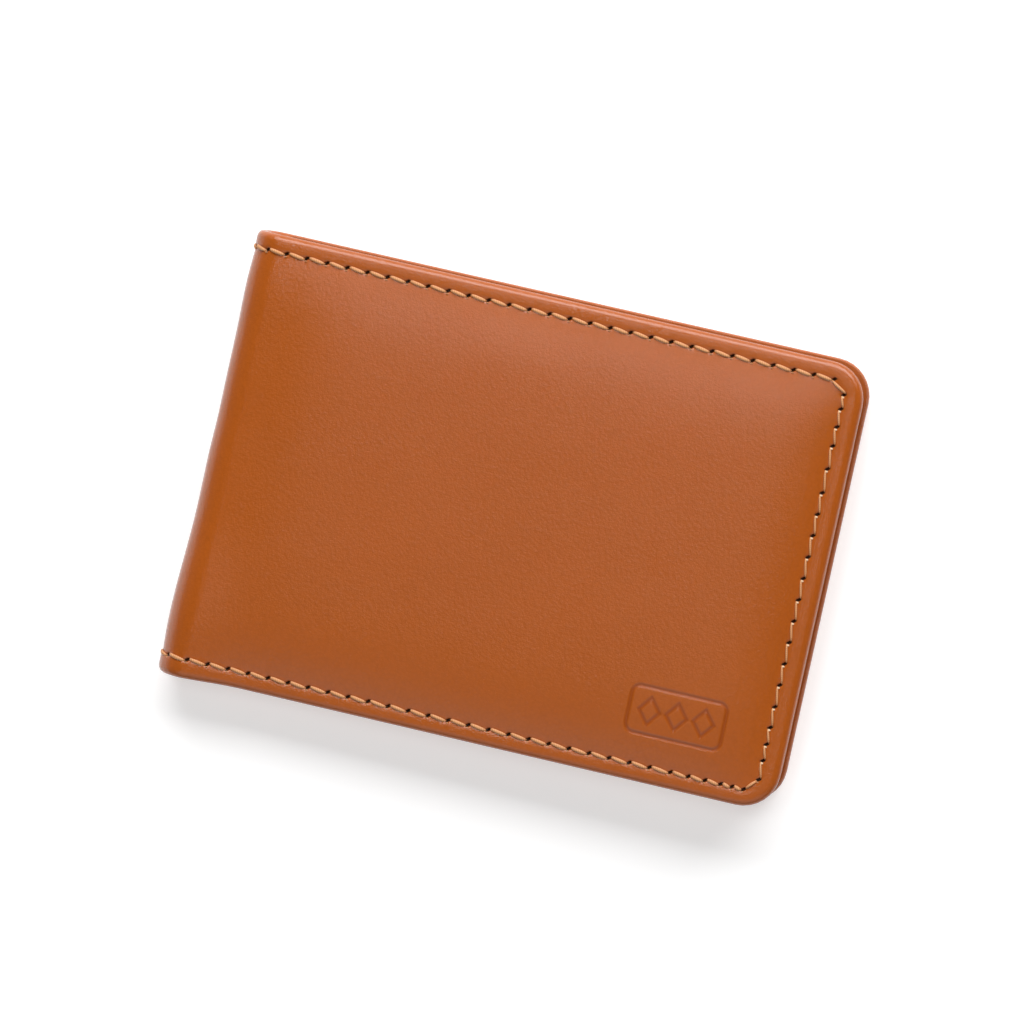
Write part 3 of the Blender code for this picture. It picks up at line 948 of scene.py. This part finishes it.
def build_wallet():
    hide_leather = leather("cover_leather", TAN, 0.165, holes=True)
    lining_leather = leather("inner_leather", INNER_TAN, 0.46, grain=0.8, gloss=0.3)
    pocket_leather = leather("pocket_leather", INNER_TAN, 0.44, grain=0.8, gloss=0.3, crease=True)
    threads = [
        thread_material("thread", (0.68, 0.33, 0.14)),
        # the paler knuckle colour is a painted highlight on the column's knuckles
        plain_material("thread_end_painted_highlight", (0.86, 0.62, 0.40), 0.5),
    ]
    cloth = cloth_material("bill_lining", (0.16, 0.075, 0.035))
    foam = plain_material("padding", (0.75, 0.72, 0.66), 0.95)
    board = plain_material("stiffener", (0.45, 0.36, 0.25), 0.9, 0.3)

    for side, index in (("back", 0), ("front", 2)):
        build_half(side, index, hide_leather, lining_leather, pocket_leather, cloth, foam, threads)

    middle_lines = np.concatenate([
        [-2 * STRIP, -2 * STRIP + EDGE_ROW], np.linspace(-2 * STRIP, -STRIP, 9)[1:-1], [-STRIP - EDGE_ROW, -STRIP],
    ])
    strip = hide("fold_cover", "front", middle_lines, side_lines(True)[1], False, [hide_leather])
    fold_blend(strip, 1)

    for name, start, end, index, nodes in (
        ("back_gutter", -ARC_LENGTH - 12.0, -2 * STRIP, 0, ("back_gutter_strip", "fold_gutter_back")),
        ("fold_gutter", -2 * STRIP, -STRIP, 1, ()),
        ("front_gutter", -STRIP, 12.0, 2, ("front_gutter_strip", "fold_gutter_front")),
    ):
        made = gutter(name, start, end, [lining_leather])
        fold_blend(made, index)
        if nodes:
            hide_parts(*nodes)

    for part, made in outer_threads(threads).items():
        if part in ("front", "back"):
            settle(made, f"{part}_half", "thread", f"{part}_edge_thread")
        else:
            fold_blend(made, ("fold_back", "fold_middle", "fold_front").index(part))

    for name, node in frame["nodes"].items():
        shown = board if name.endswith("stiffener") else cloth if name.startswith("fold_lining") else None
        if shown:
            node.data.materials.clear()
            node.data.materials.append(shown)


# ---------------------------------------------------------------- the stage

FLOOR_REACH = 3.0
SENSOR, VIEW = 36.0, 1024           # the camera's sensor in millimetres, and the picture's side in pixels
PIXELS_PER_MM, DISTANCE = 5.559, 2.0
YAW, PITCH_DOWN, ROLL = math.radians(5.5), math.radians(5.0), math.radians(-12.37)
ASIDE = (-5.17, 7.18)               # how far the wallet's middle lies from the picture's, in pixels
AIM = (0.0, 0.0, 6.0 + CROWN)       # the point of the wallet that this is counted from

# name, place in metres, size in metres, power in watts; all face the wallet
LIGHTS = (
    ("key", (0.0, 0.92, 0.72), (1.5, 0.8), 24.6),
    ("overhead", (-0.142, 0.21, 1.2), (0.178, 0.23), 1.4),
    ("below", (-0.1, -0.42, 1.13), (0.5, 0.4), 0.26),
    ("fill", (0.0, -0.78, 0.75), (1.5, 0.8), 3.2),
)


def area_light(name, place_at, size, power):
    data = bpy.data.lights.new(name, "AREA")
    data.shape = "RECTANGLE"
    data.size, data.size_y = size
    data.energy = power
    made = bpy.data.objects.new(name, data)
    made.location = place_at
    made.rotation_euler = (-Vector(place_at)).to_track_quat("-Z", "Y").to_euler()
    bpy.context.scene.collection.objects.link(made)


def build_floor():
    """A pale floor that glows a little."""
    mesh = bpy.data.meshes.new("floor")
    corners = [(x * FLOOR_REACH, y * FLOOR_REACH, 0) for x, y in ((-1, -1), (1, -1), (1, 1), (-1, 1))]
    mesh.from_pydata(corners, [], [(0, 1, 2, 3)])
    made, _, shader = nodes_of("floor")
    shader.inputs["Base Color"].default_value = (0.75, 0.75, 0.75, 1.0)
    shader.inputs["Roughness"].default_value = 0.9
    shader.inputs["Specular IOR Level"].default_value = 0.0
    shader.inputs["Emission Color"].default_value = (1.0, 1.0, 1.0, 1.0)
    shader.inputs["Emission Strength"].default_value = 0.46
    mesh.materials.append(made)
    floor = bpy.data.objects.new("floor", mesh)
    bpy.context.scene.collection.objects.link(floor)


def build_world():
    """A studio that is bright near the horizon and dark overhead."""
    world = bpy.data.worlds.new("studio")
    world.use_nodes = True
    tree = world.node_tree
    where = add_node(tree, "ShaderNodeTexCoord").outputs["Generated"]
    up = add_node(tree, "ShaderNodeSeparateXYZ", Vector=where).outputs["Z"]
    strength = map_range(tree, up, (0.2, 0.85), (3.5, 0.03), interpolation_type="SMOOTHSTEP")
    feed(tree, tree.nodes["Background"].inputs["Strength"], strength)
    bpy.context.scene.world = world


def build_camera():
    camera = bpy.data.cameras.new("camera")
    camera.sensor_width = SENSOR
    camera.lens = SENSOR * PIXELS_PER_MM * DISTANCE / MM / VIEW
    camera.clip_start, camera.clip_end = 0.05, 20.0
    turn = Matrix.Rotation(ROLL, 3, "Z") @ Matrix.Rotation(PITCH_DOWN, 3, "X") @ Matrix.Rotation(-YAW, 3, "Y")
    back = turn.transposed()
    away = Vector((ASIDE[0] / PIXELS_PER_MM, ASIDE[1] / PIXELS_PER_MM, DISTANCE / MM)) * MM
    made = bpy.data.objects.new("camera", camera)
    made.matrix_world = Matrix.Translation(Vector(AIM) * MM + back @ away) @ back.to_4x4()
    bpy.context.scene.collection.objects.link(made)
    bpy.context.scene.camera = made
    bpy.context.scene.view_settings.view_transform = "Standard"


for old in list(bpy.data.objects):
    bpy.data.objects.remove(old, do_unlink=True)
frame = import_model()
build_wallet()
build_floor()
build_world()
for light in LIGHTS:
    area_light(*light)
build_camera()
